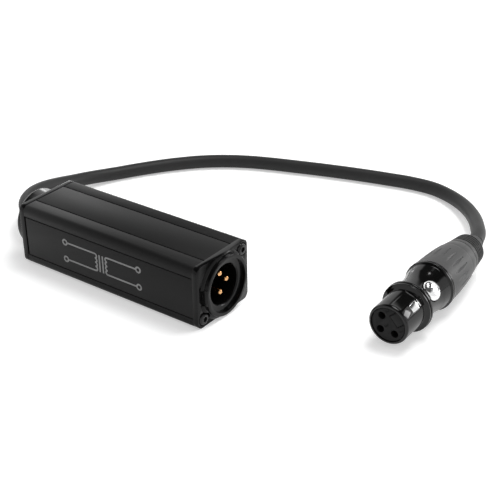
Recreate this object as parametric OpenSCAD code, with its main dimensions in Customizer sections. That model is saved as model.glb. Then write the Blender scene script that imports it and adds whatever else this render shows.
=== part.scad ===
// Inline ground loop isolator: an extruded aluminium case with a male three-pin socket
// in its front plate and a captive cord with a female three-hole plug at its rear.
// X runs along the case and out of the socket, Y across it, Z up from the surface it stands on.

/* [Case] */
// Width of the case across Y
body_w = 31; // [30:0.5:34]
// Height of the case along Z
body_h = 26; // [26:0.5:30]
// Length of the extruded tube between its two end plates
body_l = 87.5; // [80:0.5:110]
// Thickness of the tube's wall
wall = 1.6; // [1.3:0.1:1.8]
// Radius of the tube's long edges
edge_r = 2.6; // [1.6:0.1:3]
// Width of the fine lines along the faces
line_w = 0.5; // [0.3:0.1:0.8]
// Depth of the fine lines along the faces
line_d = 0.35; // [0.2:0.05:0.6]
// Distance of the lines on the top and bottom from the middle
line_y = 8; // [6:0.5:9]
// Distance of the lines on the sides from the middle
line_z = 8.6; // [6:0.2:9]
// Width of the shadow gap between the side panels and the rear plate
gap_w = 0.8; // [0.4:0.1:1.2]
// Depth of that shadow gap
gap_d = 0.9; // [0.4:0.1:1.1]

/* [Plate screws] */
// Distance of each screw from the case's two nearest faces
screw_inset = 3.5; // [3.3:0.1:3.8]
// Radius of the screw's shank
shank_r = 1.45; // [1.2:0.05:1.5]
// Length of the screw under its head
screw_l = 9; // [7:0.5:14]
// Radius of the screw's button head
head_r = 2.5; // [2.3:0.1:2.6]
// Height of the screw's button head
head_h = 1.6; // [1.2:0.1:1.8]
// Width of the hexagon socket across its flats
hex_af = 2; // [1.5:0.1:2.4]
// Radius of the screw columns inside the tube
column_r = 2.6; // [2.4:0.1:2.8]
// Depth of the pocket that each head lies in
pocket_d = 0.9; // [0.5:0.1:1.2]

/* [Front socket] */
// Thickness of the front plate
flange_t = 2.2; // [2:0.1:3]
// Outer radius of the raised ring
lip_r = 12.4; // [12:0.1:12.6]
// Height of the raised ring over the plate
lip_h = 2.4; // [1.8:0.1:3]
// Radius of the mouth inside the ring
mouth_r = 10.9; // [10.4:0.1:11.3]
// Height of the step inside the mouth over the plate's face
step_h = 0.8; // [0.4:0.1:1.2]
// Radius of the cup that takes the plug's nose
cup_r = 8.15; // [8.1:0.05:8.3]
// Depth of the cup from the ring's front
cup_d = 14.7; // [13:0.1:16]
// Wall of the barrel around the cup
cup_wall = 2; // [1.5:0.1:2.4]
// Outer radius of the flared foot around the ring
foot_r = 13.9; // [13.2:0.1:14.4]
// Height of the flared foot over the plate
foot_h = 0.9; // [0.5:0.1:1.3]
// Half width of the flat block at the latch side of the ring
tab_hw = 3.3; // [2.5:0.1:4]
// Thickness of the insulator behind the cup
insert_t = 6; // [4:0.5:8]

/* [Contacts] */
// Radius of the circle that the three contacts stand on
contact_pcr = 4.065; // [4:0.005:4.1]
// Radius of a pin
pin_r = 1.2; // [1.1:0.05:1.25]
// Length of a pin in front of the insulator
pin_l = 11.5; // [10:0.1:12]
// Length of a pin behind the insulator
pin_tail = 6; // [4:0.5:8]
// Outer radius of a female contact
contact_r = 1.6; // [1.5:0.05:1.65]
// Length of a female contact's barrel
contact_l = 11.5; // [10:0.5:13]

/* [Rear plate and gland] */
// Thickness of the rear plate
plate_t = 2.5; // [2:0.1:3]
// Radius of the round boss on the rear plate
boss_r = 12.2; // [11.5:0.1:12.6]
// Length of the boss
boss_l = 6.8; // [6:0.2:8]
// Radius of the hollow in the boss
boss_bore_r = 9.4; // [8.8:0.1:10]
// Depth of the hollow in the boss
boss_bore_d = 5.4; // [4.4:0.2:5.8]
// Radius of the grommet where it passes through the plate
neck_r = 5; // [4.6:0.1:6]
// Radius of the grommet's shoulders
shoulder_r = 7.6; // [7:0.1:8.4]
// Thickness of the grommet's shoulders
shoulder_t = 1.2; // [1:0.1:1.6]
// Radius of the grommet's tip around the cord
grommet_tip_r = 4; // [3.6:0.1:4.4]

/* [Transformer and board] */
// Length of the circuit board
board_l = 50; // [44:1:54]
// Thickness of the circuit board
board_t = 1.6; // [1:0.2:2]
// Distance of the board's underside below the case's middle
board_drop = 6.4; // [6:0.1:6.6]
// Distance from the pins' solder cups to the board
board_gap = 2.65; // [2:0.05:4]
// Length of the transformer's core
core_l = 20; // [18:0.5:22]
// Free height between the core and the case's ceiling, with the can in it
core_headroom = 2.8; // [2:0.1:3.5]
// Free width between the screening can and the screw columns
can_clearance = 0.65; // [0.3:0.05:1]
// Width of the core's yokes and outer legs
yoke = 3; // [2.5:0.1:3.2]
// Width of the core's centre leg
leg = 5; // [4:0.5:5.5]
// Thickness of the bobbin's walls
bobbin_t = 0.6; // [0.4:0.1:0.8]
// Gap between the two windings on the bobbin
winding_gap = 0.4; // [0.2:0.1:1]
// Thickness of the screening can
can_t = 0.5; // [0.3:0.1:0.6]
// Radius of the inner leads
lead_r = 0.6; // [0.4:0.1:0.8]

/* [Plug] */
// Place of the plug's face along X
plug_x = 109.2; // [100:0.1:120]
// Place of the plug's face along Y
plug_y = 14.7; // [10:0.1:20]
// Turn of the plug's axis from X, from its face to its cord
plug_yaw = 92; // [88:0.5:96]
// Turn of the latch side about the plug's axis
plug_roll = 138; // [120:1:160]
// Radius of the plug's nose
nose_r = 8; // [7.95:0.01:8.05]
// Length of the nose in front of the collar
nose_l = 13.6; // [12.6:0.1:14.4]
// Wall of the nose
nose_wall = 1.35; // [1.2:0.05:1.5]
// Radius of the rounding around the nose's front rim
rim_round = 0.9; // [0.4:0.1:1]
// Half width of the key on the plug's face
key_hw = 2.4; // [2.2:0.1:2.6]
// Height of the key's inner side over the plug's axis
key_floor = 2.95; // [2.8:0.05:3.4]
// Depth of the key behind the face
key_t = 1.4; // [1:0.1:2]
// Width of the groove around the key
key_gap = 0.3; // [0.2:0.05:0.4]
// Radius of the three holes in the plug's face
entry_r = 1.5; // [1.35:0.05:1.55]
// Radius of the collar behind the nose
collar_r = 10; // [9.6:0.1:10.2]
// Width of the collar
collar_w = 3; // [2.4:0.1:3.6]
// Radius of the waist at the button
waist_r = 8.3; // [8.1:0.1:8.6]
// Length of the straight waist behind the collar
waist_l = 5.2; // [4:0.1:6]
// Length of the metal shell
shell_l = 34.4; // [32:0.2:36]
// Length of the thread that joins the grip sleeve to the shell
thread_l = 4.8; // [4:0.2:5.4]
// Radius of the ring at the shell's rear end
flare_r = 10.2; // [10:0.1:10.6]
// Length of the grip sleeve
grip_l = 18.8; // [17:0.2:21]
// Radius of the grip sleeve's rear end
grip_end_r = 8.75; // [8.4:0.05:9.2]
// Number of finger marks around the grip sleeve
grip_marks = 20; // [10:1:22]
// Depth of each finger mark
mark_depth = 0.5; // [0.3:0.05:0.6]
// Length of the boot behind the grip sleeve
boot_l = 14.3; // [12:0.1:16]
// Radius of the boot's rear end
boot_end_r = 6.6; // [6.2:0.1:7]
// Number of grooves around the boot's end
boot_grooves = 5; // [3:1:6]
// Pitch of those grooves
groove_pitch = 1.45; // [1.2:0.05:1.6]
// Width of each groove
groove_w = 0.75; // [0.5:0.05:0.9]
// Depth of each groove
groove_d = 0.8; // [0.3:0.1:0.9]
// Length of the soft sleeve outside the boot
sleeve_l = 6.5; // [5:0.5:9]

/* [Latch] */
// Half width of the latch's tongue
tongue_hw = 1.45; // [1.3:0.05:1.6]
// Length of the tongue
tongue_l = 6.7; // [6:0.1:7.5]
// Height of the tongue's front and rear over the plug's axis
tongue_top = 7.85; // [7.6:0.05:7.95]
// Height of the tooth over the tongue's front
tooth_h = 0.65; // [0.5:0.05:0.9]
// Length of the tooth's ramp
tooth_l = 3.7; // [3:0.1:4.2]
// Length of the notch behind the tooth
notch_l = 1.8; // [1.2:0.1:2.2]
// Half width of the lever's arm
arm_hw = 2.2; // [2:0.1:2.4]
// Radius of the push button
button_r = 3.9; // [3.5:0.1:4]
// Distance of the button's middle from the plug's face
button_s = 22; // [21.6:0.1:23]
// Height of the button's top over the plug's axis
button_top = 10; // [9.6:0.1:10.4]
// Travel of the latch when the button is pressed
latch_travel = 1.3; // [1:0.05:1.4]
// Gap all round the moving latch
latch_gap = 0.3; // [0.25:0.05:0.35]

/* [Cord] */
// Diameter of the cord
cord_d = 6.2; // [6:0.1:6.4]

/* [Hidden] */
$fn = 64;

// Clearance between pieces that fit into one another
fit = 0.05;
// Overshoot of a cut past the face that it opens
over = 1;

mid_z = body_h / 2;
tube_x = body_l / 2;
screw_y = body_w / 2 - screw_inset;
screw_z = body_h / 2 - screw_inset;
in_w = body_w - 2 * wall;
in_h = body_h - 2 * wall;

face_x = tube_x + flange_t;
lip_x = face_x + lip_h;
cup_floor_x = lip_x - cup_d;
insert_rear_x = cup_floor_x - insert_t;
barrel_r = cup_r + cup_wall;
pin_rear_x = insert_rear_x - pin_tail;

rear_x = -tube_x - plate_t;
boss_floor_x = rear_x - boss_l + boss_bore_d;
cord_r = cord_d / 2;

board_w = in_w - 2 * fit;
board_front = pin_rear_x - board_gap;
board_rear = board_front - board_l;
board_z = mid_z - board_drop;
board_top = board_z + board_t;
rail_h = 0.9;
rail_w = 1.3;
core_x = (board_front + board_rear) / 2 - 2;
core_h = body_h - wall - board_top - core_headroom;
core_mid_z = board_top + core_h / 2;
window_h = core_h - 2 * yoke;
window_w = (core_l - leg) / 2 - yoke;
winding_reach = window_w - bobbin_t - 4 * fit;
winding_h = (window_h - 4 * fit - 2 * bobbin_t - winding_gap) / 2;
can_gap = 0.4;
can_half_w = screw_y - column_r - can_clearance;
core_t = 2 * (can_half_w - can_t - can_gap - winding_reach - bobbin_t - fit);
spool_w = leg / 2 + fit + bobbin_t;
spool_t = core_t / 2 + fit + bobbin_t;

// Terminal posts on the board: width, and how far each stands from the board's end
post_w = 1.4;
front_post_insets = [5, 2, 2];
rear_post_inset = 2;
// Distance between the cord's three cores
core_pitch = 1.9;
// How far a lead reaches into a solder cup or into the cord's jacket
lead_in = 2;
solder_cup_d = 3;
solder_cup_r = lead_r + 0.2;
// Length of the jacket inside the case, behind the rear plate
jacket_in = 4;

plug_z = max(flare_r, collar_r) + 0.05;
bore_r = nose_r - nose_wall;
plug_in_r = bore_r - fit;
collar_s = nose_l + collar_w;
face_recess = 0.3;
counter_s = shell_l - thread_l;
plug_in_rear = counter_s - fit;
slot_hw = tongue_hw + latch_gap;
channel_hw = arm_hw + latch_gap;
lever_bottom = 5.2;
lever_t = 1;
lever_rear = plug_in_rear - 1.85;
channel_floor = lever_bottom - latch_travel - latch_gap;
notch_d = 0.6;
tongue_rear = nose_l - 0.5;
tongue_front = tongue_rear - tongue_l;
counter_r = flare_r - 2.2;
ring_w = 1.5;
ring_line = 0.25;
grip_s = shell_l;
grip_rear = grip_s + grip_l;
grip_front_r = flare_r - 0.3;
boot_s = grip_rear + 0.25;
boot_front_r = grip_end_r - 0.1;
boot_rear = boot_s + boot_l;
boot_bore_r = 4.9;
sleeve_root_r = boot_bore_r - fit;
sleeve_tip_r = cord_r + 0.25;
sleeve_tip_s = boot_rear + sleeve_l;
contact_front = 4.5;
contact_tail = plug_in_rear + 0.95;
chuck_r = 6.3;
chuck_s = plug_in_rear + 4.45;
chuck_cone_s = chuck_s + 8;
chuck_end = chuck_s + 13;
chuck_end_r = chuck_r - 1;
jacket_s = chuck_s + 0.5;
waist_sweep = 30;
flare_s = collar_s + waist_l;
mark_wheel_r = 30;
mark_spread = 1.25;

// Where the cord leaves the grommet and enters the plug's soft sleeve
cord_start = [rear_x - boss_l + 1.5, 0, mid_z];
plug_dir = [cos(plug_yaw), sin(plug_yaw), 0];
cord_stop = [plug_x, plug_y, plug_z] + plug_dir * sleeve_tip_s;

// Hand-chosen points of the cord's middle line, from the grommet to the plug
cord_route = [
    [-55.6, 0.1, 13], [-60.2, 1.3, 12.9], [-65, 4.5, 12.6], [-69.2, 9.4, 12.2],
    [-72.4, 15.4, 11.6], [-74.5, 22, 10.6], [-75.6, 29, 9.2], [-76, 36, 7.6],
    [-75.7, 43, 6.1], [-74.6, 50.5, 4.9], [-72.2, 58.5, 3.9], [-68.5, 66.6, 3.3],
    [-63.3, 75.6, 3.2],
    [-57.3, 84.5, 3.2], [-50.6, 93, 3.2], [-43.2, 100.7, 3.2], [-34.6, 107.3, 3.2],
    [-25, 112.8, 3.2], [-14.6, 117.2, 3.2], [-4, 121, 3.2], [7, 124.8, 3.2],
    [18, 128.3, 3.2], [29, 131.5, 3.2], [40, 134.3, 3.2], [50.5, 136.6, 3.2],
    [61, 137.3, 3.2], [70, 135.1, 3.3], [78.7, 130.4, 3.8], [86.4, 123.8, 4.7],
    [93.2, 115.7, 6], [99, 106.5, 7.7], [103.6, 97.8, 9.3]
];
cord_points = concat([cord_start], cord_route, [cord_stop]);
cord_sides = 12;
cord_steps = 2;

// Angles of the three contacts about their circle's middle, from +Y; the latch side is -Y
contact_angles = [90, -90, 0];
// Radius and length of the solder bead where a lead bends
bead_r = 0.75;
bead_l = 0.8;

// Points of an arc around a centre, from one angle to another
function arc(cx, cy, r, a0, a1, n) =
    [for (i = [0:n]) let (a = a0 + (a1 - a0) * i / n) [cx + r * cos(a), cy + r * sin(a)]];
// Direction from one point to another, of length 1
function toward(a, b) = (b - a) / norm(b - a);
// Point of a smooth curve through four points, between the middle two
function curve_at(a, b, c, d, u) =
    0.5 * (2 * b + (c - a) * u + (2 * a - 5 * b + 4 * c - d) * u * u
        + (3 * b - a - 3 * c + d) * u * u * u);
function route_point(p, i) =
    i < 0 ? 2 * p[0] - p[1] : i >= len(p) ? 2 * p[len(p) - 1] - p[len(p) - 2] : p[i];
function smooth_route(p, steps) = concat(
    [for (i = [0:len(p) - 2], k = [0:steps - 1])
        curve_at(route_point(p, i - 1), p[i], p[i + 1], route_point(p, i + 2), k / steps)],
    [p[len(p) - 1]]);

// A rectangle with round corners about the origin
module round_rect(w, h, r) {
    square([w - 2 * r, h], center = true);
    square([w, h - 2 * r], center = true);
    for (sx = [-1, 1], sy = [-1, 1])
        translate([sx * (w / 2 - r), sy * (h / 2 - r)])
            circle(r);
}

// Extrudes a Y and Z outline along X from one place to another
module along_x(x0, x1) {
    translate([x0, 0, 0])
        rotate([90, 0, 90])
            linear_extrude(x1 - x0)
                children();
}

// Turns an outline of [distance along X, radius] about the X axis
module turn_x() {
    rotate([0, 90, 0])
        rotate_extrude()
            mirror([1, -1])
                children();
}

// A box from its lowest to its highest corner
module span(a, b) {
    translate(a)
        cube(b - a);
}

// A round bar along X about a line at [y, z]
module bar_x(x0, x1, r, y = 0, z = 0) {
    translate([x0, y, z])
        rotate([0, 90, 0])
            cylinder(r = r, h = x1 - x0);
}

// A round lead between two points
module lead(a, b) {
    d = b - a;
    translate(a)
        rotate([0, acos(d[2] / norm(d)), atan2(d[1], d[0])])
            cylinder(r = lead_r, h = norm(d));
}

// A square post on the board that takes a lead's end
module terminal_post(x, y, z) {
    half = post_w / 2;
    span([x - half, y - half, board_top], [x + half, y + half, z + half]);
}

// Moves children to the places of the two plate screws, on opposite corners
module at_screws() {
    for (s = [-1, 1])
        translate([0, s * screw_y, mid_z + s * screw_z])
            children();
}

// Place of a contact on its circle, seen from the socket
function contact_place(i) =
    [0, contact_pcr * cos(contact_angles[i]), contact_pcr * sin(contact_angles[i])];

module at_contact(i) {
    translate(contact_place(i))
        children();
}

// The same for the plug, which faces the socket and so is turned about its axis
module at_plug_contact(i) {
    rotate([180, 0, 0])
        at_contact(i)
            children();
}

// Places the plug: its axis along X from the face, its latch side along +Y
module place_plug() {
    translate([plug_x, plug_y, plug_z])
        rotate([0, 0, plug_yaw])
            rotate([plug_roll, 0, 0])
                children();
}

// Outline of the extruded tube, with its fine lines
module tube_outline() {
    difference() {
        round_rect(body_w, body_h, edge_r);
        for (s = [-1, 1], t = [-1, 1]) {
            translate([s * line_y, t * body_h / 2])
                square([line_w, 2 * line_d], center = true);
            translate([s * body_w / 2, t * line_z])
                square([2 * line_d, line_w], center = true);
        }
    }
}

// Hollow of the tube: screw columns in its corners and rails that hold the board
module tube_hollow() {
    slot_z = board_z - mid_z - fit;
    difference() {
        union() {
            difference() {
                round_rect(in_w, in_h, edge_r - wall / 2);
                for (sy = [-1, 1], sz = [-1, 1])
                    translate([sy * screw_y, sz * screw_z])
                        circle(column_r);
            }
            // Room for the board, where a low case brings the lower columns up to it
            translate([-in_w / 2, slot_z])
                square([in_w, board_t + 2 * fit + rail_h]);
        }
        for (s = [-1, 1]) {
            translate([s * (in_w - rail_w) / 2, slot_z - rail_h / 2])
                square([rail_w + fit, rail_h], center = true);
            translate([s * (in_w - rail_w) / 2, board_top - mid_z + fit + rail_h / 2])
                square([rail_w + fit, rail_h], center = true);
        }
    }
}

module case_tube() {
    color([0.16, 0.16, 0.17])
        difference() {
            translate([0, 0, mid_z])
                along_x(-tube_x, tube_x)
                    difference() {
                        tube_outline();
                        tube_hollow();
                        for (sy = [-1, 1], sz = [-1, 1])
                            translate([sy * screw_y, sz * screw_z])
                                circle(shank_r + fit);
                    }
            // Room for the socket's barrel where the case is narrow
            bar_x(insert_rear_x - 2, tube_x + over, barrel_r + fit, 0, mid_z);
            for (s = [-1, 1])
                translate([-tube_x, s * body_w / 2, mid_z])
                    cube([2 * gap_w, 2 * gap_d, 2 * line_z], center = true);
        }
}

// The front plate with its ring, mouth, cup and barrel, one casting
module front_socket() {
    lip_round = 0.35;
    color([0.1, 0.1, 0.105])
        difference() {
            union() {
                translate([0, 0, mid_z])
                    along_x(tube_x, face_x)
                        round_rect(body_w, body_h, edge_r);
                // Flared foot, open at the latch side and flush with the plate's edges
                intersection() {
                    translate([0, 0, mid_z])
                        turn_x()
                            polygon([[tube_x + flange_t / 2, 0], [tube_x + flange_t / 2, foot_r],
                                [face_x + 0.1, foot_r], [face_x + foot_h, lip_r + 0.5],
                                [face_x + foot_h, 0]]);
                    translate([0, 0, mid_z])
                        along_x(tube_x, lip_x)
                            difference() {
                                round_rect(body_w, body_h, edge_r);
                                translate([-body_w, -tab_hw])
                                    square([body_w, 2 * tab_hw]);
                            }
                }
                translate([0, 0, mid_z])
                    turn_x()
                        polygon(concat([[tube_x + flange_t / 2, 0], [tube_x + flange_t / 2, lip_r]],
                            arc(lip_x - lip_round, lip_r - lip_round, lip_round, 90, 0, 6),
                            [[lip_x, 0]]));
                // Flat block at the latch side of the ring
                translate([0, 0, mid_z])
                    along_x(tube_x + flange_t / 2, lip_x - lip_round / 2)
                        translate([-lip_r - 0.1, -tab_hw])
                            square([lip_r, 2 * tab_hw]);
                bar_x(insert_rear_x - 1, tube_x + over, barrel_r, 0, mid_z);
            }
            bar_x(face_x + step_h, lip_x + over, mouth_r, 0, mid_z);
            bar_x(cup_floor_x, lip_x + over, cup_r, 0, mid_z);
            bar_x(insert_rear_x - over - 1, cup_floor_x + over, cup_r, 0, mid_z);
            // Tapered lead into the cup
            translate([0, 0, mid_z])
                turn_x()
                    polygon([[face_x + step_h - 0.5, cup_r - 0.01], [face_x + step_h, cup_r + 0.5],
                        [face_x + step_h + 0.1, cup_r + 0.5], [face_x + step_h + 0.1, cup_r - 0.01]]);
            // Notch inside the mouth that the plug's tooth drops behind
            translate([face_x - 3, -cup_r - 1.3, mid_z - tab_hw + 0.6])
                cube([3 + step_h - 1.1, 2, 2 * tab_hw - 1.2]);
            at_screws() {
                bar_x(tube_x - over, face_x + over, shank_r + fit);
                bar_x(face_x - pocket_d, lip_x + over, head_r + 0.3);
            }
        }
}

// Black insulator that closes the cup and carries the pins
module socket_insulator() {
    color([0.05, 0.05, 0.05])
        difference() {
            union() {
                bar_x(insert_rear_x, cup_floor_x, cup_r - fit, 0, mid_z);
                for (i = [0:2])
                    translate([0, 0, mid_z])
                        at_contact(i)
                            bar_x(cup_floor_x, cup_floor_x + 0.6, pin_r + 0.7);
            }
            for (i = [0:2])
                translate([0, 0, mid_z])
                    at_contact(i)
                        bar_x(insert_rear_x - over, cup_floor_x + over, pin_r + fit);
        }
}

// A turned pin with a round tip and a solder cup
module pin(i) {
    tip_x = cup_floor_x + pin_l;
    color([0.86, 0.68, 0.36])
        translate([0, 0, mid_z])
            at_contact(i)
                difference() {
                    turn_x()
                        polygon(concat(
                            [[pin_rear_x, 0], [pin_rear_x, pin_r], [cup_floor_x, pin_r]],
                            arc(tip_x - pin_r * 0.8, pin_r * 0.2, pin_r * 0.8, 90, 0, 8),
                            [[tip_x, 0]]));
                    bar_x(pin_rear_x - over, pin_rear_x + solder_cup_d, solder_cup_r);
                }
}

// A button-head screw pointing along +X into the tube, its head's seat at x = 0
module plate_screw() {
    difference() {
        turn_x()
            polygon(concat(
                [[screw_l, 0], [screw_l, shank_r - 0.3], [screw_l - 0.5, shank_r], [0, shank_r],
                    [0, head_r], [-head_h * 0.35, head_r]],
                arc(-head_h * 0.35, head_r - head_h * 0.65, head_h * 0.65, 90, 180, 5),
                [[-head_h, 0]]));
        rotate([0, -90, 0])
            translate([0, 0, head_h - 1])
                cylinder(d = hex_af / cos(30), h = 1 + over, $fn = 6);
    }
}

module front_screws() {
    color([0.07, 0.07, 0.07])
        at_screws()
            translate([face_x - pocket_d, 0, 0])
                mirror([1, 0, 0])
                    plate_screw();
}

module rear_screws() {
    color([0.07, 0.07, 0.07])
        at_screws()
            translate([rear_x + pocket_d, 0, 0])
                plate_screw();
}

// The rear plate with its round hollow boss
module rear_plate() {
    boss_round = 1.4;
    end_x = rear_x - boss_l;
    color([0.09, 0.09, 0.095])
        difference() {
            union() {
                translate([0, 0, mid_z])
                    along_x(rear_x, -tube_x)
                        round_rect(body_w, body_h, edge_r);
                translate([0, 0, mid_z])
                    turn_x()
                        polygon(concat([[rear_x + plate_t / 2, 0]],
                            [[rear_x + plate_t / 2, boss_r]],
                            arc(end_x + boss_round, boss_r - boss_round, boss_round, 90, 180, 8),
                            [[end_x, 0]]));
            }
            bar_x(end_x - over, boss_floor_x, boss_bore_r, 0, mid_z);
            bar_x(end_x, -tube_x + over, neck_r + fit, 0, mid_z);
            at_screws() {
                bar_x(rear_x - over, -tube_x + over, shank_r + fit);
                bar_x(rear_x - boss_l - over, rear_x + pocket_d, head_r + 0.3);
            }
        }
}

// Rubber grommet that holds the cord in the rear plate and tapers along it
module cord_grommet() {
    bore = cord_r + fit;
    color([0.15, 0.15, 0.155])
        translate([0, 0, mid_z])
            turn_x()
                polygon([[-tube_x + shoulder_t, bore], [-tube_x + shoulder_t, shoulder_r - 0.4],
                    [-tube_x + shoulder_t - 0.4, shoulder_r], [-tube_x, shoulder_r],
                    [-tube_x, neck_r], [boss_floor_x, neck_r], [boss_floor_x, shoulder_r],
                    [boss_floor_x - shoulder_t, shoulder_r],
                    [cord_start[0] + 0.3, grommet_tip_r], [cord_start[0], grommet_tip_r - 0.3],
                    [cord_start[0], bore]]);
}

module circuit_board() {
    color([0.1, 0.35, 0.2])
        span([board_rear, -board_w / 2, board_z], [board_front, board_w / 2, board_top]);
}

// Stack of sheets with two windows around a centre leg
module transformer_core() {
    color([0.45, 0.46, 0.48])
        difference() {
            span([core_x - core_l / 2, -core_t / 2, board_top],
                [core_x + core_l / 2, core_t / 2, board_top + core_h]);
            for (s = [-1, 1])
                translate([core_x + s * (leg + window_w) / 2, 0, core_mid_z])
                    cube([window_w, core_t + 2 * over, window_h], center = true);
        }
}

// A square collar around the core's centre leg
module leg_collar(reach, inner_x, inner_y, z0, z1) {
    difference() {
        span([core_x - inner_x - reach, -inner_y - reach, z0],
            [core_x + inner_x + reach, inner_y + reach, z1]);
        span([core_x - inner_x, -inner_y, z0 - over], [core_x + inner_x, inner_y, z1 + over]);
    }
}

module transformer_bobbin() {
    low = core_mid_z - window_h / 2 + fit;
    high = core_mid_z + window_h / 2 - fit;
    hole_x = leg / 2 + fit;
    hole_y = core_t / 2 + fit;
    color([0.85, 0.83, 0.74])
        union() {
            leg_collar(bobbin_t, hole_x, hole_y, low, high);
            leg_collar(bobbin_t + winding_reach, hole_x, hole_y, low, low + bobbin_t);
            leg_collar(bobbin_t + winding_reach, hole_x, hole_y, high - bobbin_t, high);
        }
}

// One winding, a copper collar between the bobbin's cheeks
module winding(z0, z1) {
    leg_collar(winding_reach - 0.2, spool_w + fit, spool_t + fit, z0, z1);
}

module primary_winding() {
    low = core_mid_z - window_h / 2 + 2 * fit + bobbin_t;
    color([0.72, 0.42, 0.22])
        winding(low, low + winding_h);
}

module secondary_winding() {
    high = core_mid_z + window_h / 2 - 2 * fit - bobbin_t;
    color([0.75, 0.46, 0.25])
        winding(high - winding_h, high);
}

// Folded screening can over the transformer, open underneath
module screening_can() {
    half_x = core_l / 2 + can_gap + can_t;
    top = board_top + core_h + can_gap + can_t;
    color([0.75, 0.76, 0.78])
        difference() {
            span([core_x - half_x, -can_half_w, board_top], [core_x + half_x, can_half_w, top]);
            span([core_x - half_x + can_t, -can_half_w + can_t, board_top - over],
                [core_x + half_x - can_t, can_half_w - can_t, top - can_t]);
        }
}

// Three posts on the board, each with a straight lead into its pin's solder cup
module front_leads() {
    color([0.7, 0.1, 0.1])
        for (i = [0:2]) {
            at = contact_place(i) + [0, 0, mid_z];
            post_x = board_front - front_post_insets[i];
            bar_x(post_x, pin_rear_x + lead_in, lead_r, at[1], at[2]);
            terminal_post(post_x, at[1], at[2]);
        }
}

// The cord's inner end: its jacket through the grommet, three leads and their posts
module rear_leads() {
    jacket_end = -tube_x + jacket_in;
    post_x = board_rear + rear_post_inset;
    color([0.1, 0.2, 0.6])
        union() {
            bar_x(cord_start[0], jacket_end, cord_r, 0, mid_z);
            for (i = [-1:1]) {
                bar_x(jacket_end - lead_in, post_x, lead_r, i * core_pitch, mid_z);
                terminal_post(post_x, i * core_pitch, mid_z);
            }
        }
}

// The cord, one tube swept along its route
module cord() {
    path = smooth_route(cord_points, cord_steps);
    n = len(path);
    rings = [for (i = [0:n - 1])
        let (t = i == 0 ? [-1, 0, 0] : i == n - 1 ? -plug_dir : toward(path[i - 1], path[i + 1]),
            side = toward([0, 0, 0], cross([0, 0, 1], t)),
            up = cross(t, side))
        for (k = [0:cord_sides - 1])
            path[i] + cord_r * (cos(360 * k / cord_sides) * side + sin(360 * k / cord_sides) * up)];
    walls = [for (i = [0:n - 2], k = [0:cord_sides - 1])
        [i * cord_sides + k, (i + 1) * cord_sides + k,
            (i + 1) * cord_sides + (k + 1) % cord_sides, i * cord_sides + (k + 1) % cord_sides]];
    caps = [[for (k = [0:cord_sides - 1]) k],
        [for (k = [cord_sides - 1:-1:0]) (n - 1) * cord_sides + k]];
    color([0.13, 0.13, 0.135])
        polyhedron(rings, concat(walls, caps), convexity = 10);
}

// Outline of the metal shell from its front rim to its rear ring
function shell_outline() = concat(
    [[0, bore_r]],
    arc(rim_round, nose_r - rim_round, rim_round, 180, 90, 4),
    [[nose_l - 0.6, nose_r], [nose_l, nose_r + 1.1], [nose_l + 0.3, collar_r - 0.2],
        [nose_l + 0.6, collar_r - 0.1], [nose_l + 1, collar_r - 0.1],
        [nose_l + 1.1, collar_r - 0.6], [nose_l + 1.5, collar_r - 0.6],
        [nose_l + 1.6, collar_r - 0.1], [nose_l + 1.9, collar_r], [collar_s - 0.4, collar_r]],
    arc(collar_s + 1.1, waist_r + 1.5, 1.5, 180, 270, 6),
    arc(flare_s, waist_r + waist_sweep, waist_sweep, 270, 283, 8),
    arc(shell_l - ring_w - 2.1, flare_r + 1.1, 2.1, 300, 328, 4),
    [[shell_l - ring_w, flare_r], [shell_l - ring_w + 0.4, flare_r],
        [shell_l - ring_w + 0.4, flare_r - ring_line],
        [shell_l - ring_w + 0.6, flare_r - ring_line], [shell_l - ring_w + 0.6, flare_r],
        [shell_l - 0.2, flare_r], [shell_l, flare_r - 0.2], [shell_l, counter_r],
        [counter_s, counter_r], [counter_s, bore_r]]);

module plug_shell() {
    color([0.2, 0.2, 0.21])
        place_plug()
            difference() {
                union() {
                    turn_x()
                        polygon(shell_outline());
                    // Key that reaches in from the front rim
                    intersection() {
                        span([0, key_floor, -key_hw], [key_t, nose_r, key_hw]);
                        bar_x(-over, key_t + over, bore_r + 0.2);
                    }
                }
                // Slot that the latch's tongue stands in
                span([tongue_front - latch_gap, 0, -slot_hw],
                    [tongue_rear + latch_gap, nose_r + 2, slot_hw]);
                // Hole for the push button
                translate([button_s, 0, 0])
                    rotate([-90, 0, 0])
                        cylinder(r = button_r + latch_gap, h = flare_r + over);
            }
}

// Insulator that holds the contacts, open around the key, the lever and the button
module plug_insulator() {
    color([0.2, 0.2, 0.2])
        place_plug()
            difference() {
                bar_x(face_recess, plug_in_rear, plug_in_r);
                span([-over, key_floor - key_gap, -key_hw - key_gap],
                    [key_t + fit, nose_r, key_hw + key_gap]);
                span([tongue_front - latch_gap, channel_floor, -channel_hw],
                    [plug_in_rear + over, nose_r, channel_hw]);
                translate([button_s, lever_bottom + lever_t - latch_travel - latch_gap, 0])
                    rotate([-90, 0, 0])
                        cylinder(r = button_r + latch_gap, h = nose_r);
                for (i = [0:2])
                    at_plug_contact(i) {
                        bar_x(-over, contact_front + fit, entry_r);
                        bar_x(contact_front, contact_front + contact_l + fit, contact_r + fit);
                        bar_x(contact_front + contact_l, plug_in_rear + over, pin_r + 0.1);
                    }
            }
}

// A female contact: a barrel bored for the pin and a tail with a solder cup
module plug_contact(i) {
    barrel_end = contact_front + contact_l;
    color([0.86, 0.68, 0.36])
        place_plug()
            at_plug_contact(i)
                difference() {
                    union() {
                        bar_x(contact_front, barrel_end, contact_r);
                        bar_x(barrel_end - over, contact_tail, pin_r + 0.05);
                    }
                    bar_x(contact_front - over, barrel_end - over, pin_r + 0.05);
                    bar_x(contact_tail - solder_cup_d, contact_tail + over, solder_cup_r);
                }
}

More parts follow.
